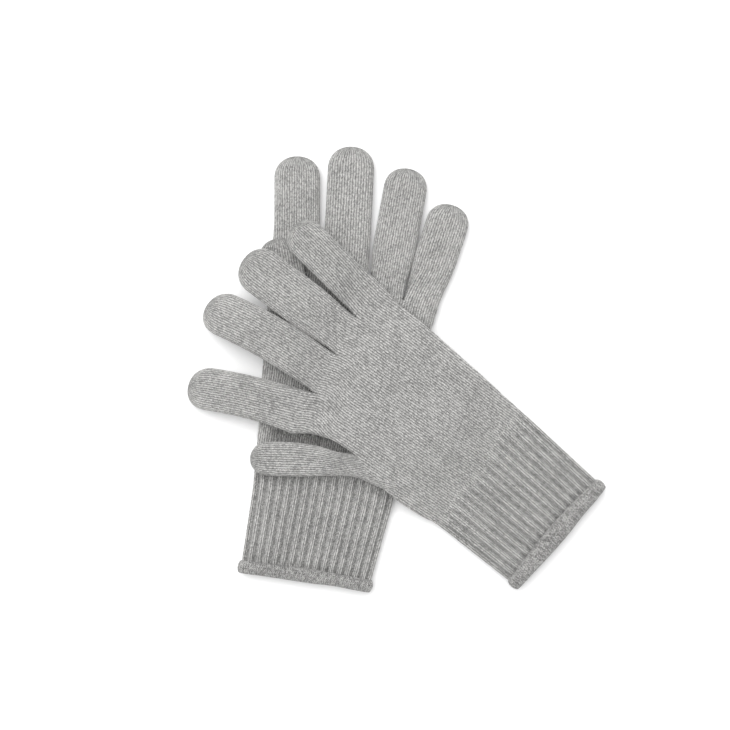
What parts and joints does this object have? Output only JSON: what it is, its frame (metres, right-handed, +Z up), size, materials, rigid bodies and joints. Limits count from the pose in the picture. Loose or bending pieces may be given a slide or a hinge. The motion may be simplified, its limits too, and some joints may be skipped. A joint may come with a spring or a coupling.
{
  "type": "pair of knitted gloves",
  "caption": "Pair of full-finger knitted gloves laid crossed: flattened hand, finger and thumb tubes, long ribbed cuffs and rolled hems, each hollow from hem to fingertip.",
  "frame": {"origin": "middle of the pair's box, on the surface the gloves lie on", "axes": "+Z up; +Y towards the fingertips of the lower glove; +X towards the side where the upper glove's cuff lies"},
  "size_m": [0.2612, 0.2818, 0.0246],
  "materials": {
    "knit_left": "grey marl stocking stitch, fine gauge, slightly hairy",
    "knit_right": "grey marl stocking stitch, fine gauge, slightly hairy",
    "knit_rib": "grey marl two-by-two rib",
    "knit_hem": "grey marl rolled edge, wrong side of the stitch outwards"
  },
  "bodies": {
    "left_hand": {"left_hand": "knit_left", "left_little_base": "knit_left", "left_ring_base": "knit_left", "left_middle_base": "knit_left", "left_index_base": "knit_left", "left_thumb": "knit_left"},
    "left_little_tip": {"left_little_tip": "knit_left"},
    "left_ring_tip": {"left_ring_tip": "knit_left"},
    "left_middle_tip": {"left_middle_tip": "knit_left"},
    "left_index_tip": {"left_index_tip": "knit_left"},
    "left_cuff": {"left_cuff": "knit_rib", "left_hem": "knit_hem"},
    "right_hand": {"right_hand": "knit_right"},
    "right_little_base": {"right_little_base": "knit_right"},
    "right_little_tip": {"right_little_tip": "knit_right"},
    "right_ring_base": {"right_ring_base": "knit_right"},
    "right_ring_tip": {"right_ring_tip": "knit_right"},
    "right_middle_base": {"right_middle_base": "knit_right"},
    "right_middle_tip": {"right_middle_tip": "knit_right"},
    "right_index_base": {"right_index_base": "knit_right"},
    "right_index_tip": {"right_index_tip": "knit_right"},
    "right_thumb": {"right_thumb": "knit_right"},
    "right_cuff": {"right_cuff": "knit_rib", "right_hem": "knit_hem"}
  },
  "joints": [
    {"name": "right_lift", "type": "slide", "parent": "left_hand", "child": "right_hand", "axis": [0, 0, 1], "range_m": [0, 0.12]},
    {"name": "right_little_knuckle", "type": "hinge", "parent": "right_hand", "child": "right_little_base", "pos_m": [-0.01882, 0.04542, 0.0184], "axis": [0.4772, 0.8788, 0], "range_deg": [0, 60]},
    {"name": "right_little_joint", "type": "hinge", "parent": "right_little_base", "child": "right_little_tip", "pos_m": [-0.04022, 0.06644, 0.0238], "axis": [0.7009, 0.7133, 0], "range_deg": [0, 75]},
    {"name": "right_ring_knuckle", "type": "hinge", "parent": "right_hand", "child": "right_ring_base", "pos_m": [-0.03147, 0.02213, 0.0184], "axis": [0.4772, 0.8788, 0], "range_deg": [0, 60]},
    {"name": "right_ring_joint", "type": "hinge", "parent": "right_ring_base", "child": "right_ring_tip", "pos_m": [-0.06341, 0.0462, 0.0246], "axis": [0.6018, 0.7986, 0], "range_deg": [0, 75]},
    {"name": "right_middle_knuckle", "type": "hinge", "parent": "right_hand", "child": "right_middle_base", "pos_m": [-0.04435, -0.0016, 0.0184], "axis": [0.4772, 0.8788, 0], "range_deg": [0, 60]},
    {"name": "right_middle_joint", "type": "hinge", "parent": "right_middle_base", "child": "right_middle_tip", "pos_m": [-0.08108, 0.01876, 0.0238], "axis": [0.4848, 0.8746, 0], "range_deg": [0, 75]},
    {"name": "right_index_knuckle", "type": "hinge", "parent": "right_hand", "child": "right_index_base", "pos_m": [-0.05783, -0.02643, 0.0184], "axis": [0.4772, 0.8788, 0], "range_deg": [0, 60]},
    {"name": "right_index_joint", "type": "hinge", "parent": "right_index_base", "child": "right_index_tip", "pos_m": [-0.09395, -0.01842, 0.0184], "axis": [0.2164, 0.9763, 0], "range_deg": [0, 75]},
    {"name": "right_thumb_fold", "type": "hinge", "parent": "right_hand", "child": "right_thumb", "pos_m": [-0.0273, -0.05944, 0.0184], "axis": [0, 1, 0], "range_deg": [0, 75]},
    {"name": "right_cuff_fold", "type": "hinge", "parent": "right_hand", "child": "right_cuff", "pos_m": [0.0515, -0.06044, 0.009], "axis": [-0.5758, -0.8176, 0], "range_deg": [0, 75]},
    {"name": "left_little_joint", "type": "hinge", "parent": "left_hand", "child": "left_little_tip", "pos_m": [0.02473, 0.07268, 0.009], "axis": [0.9613, -0.2756, 0], "range_deg": [0, 80]},
    {"name": "left_ring_joint", "type": "hinge", "parent": "left_hand", "child": "left_ring_tip", "pos_m": [0.0005, 0.09131, 0.009], "axis": [0.989, -0.1478, 0], "range_deg": [0, 80]},
    {"name": "left_middle_joint", "type": "hinge", "parent": "left_hand", "child": "left_middle_tip", "pos_m": [-0.02934, 0.10428, 0.009], "axis": [0.999, -0.0436, 0], "range_deg": [0, 80]},
    {"name": "left_index_joint", "type": "hinge", "parent": "left_hand", "child": "left_index_tip", "pos_m": [-0.06172, 0.09988, 0.009], "axis": [1, 0, 0], "range_deg": [0, 80]},
    {"name": "left_cuff_fold", "type": "hinge", "parent": "left_hand", "child": "left_cuff", "pos_m": [-0.0455, -0.07969, 0.009], "axis": [-0.9896, 0.1438, 0], "range_deg": [0, 75]}
  ]
}
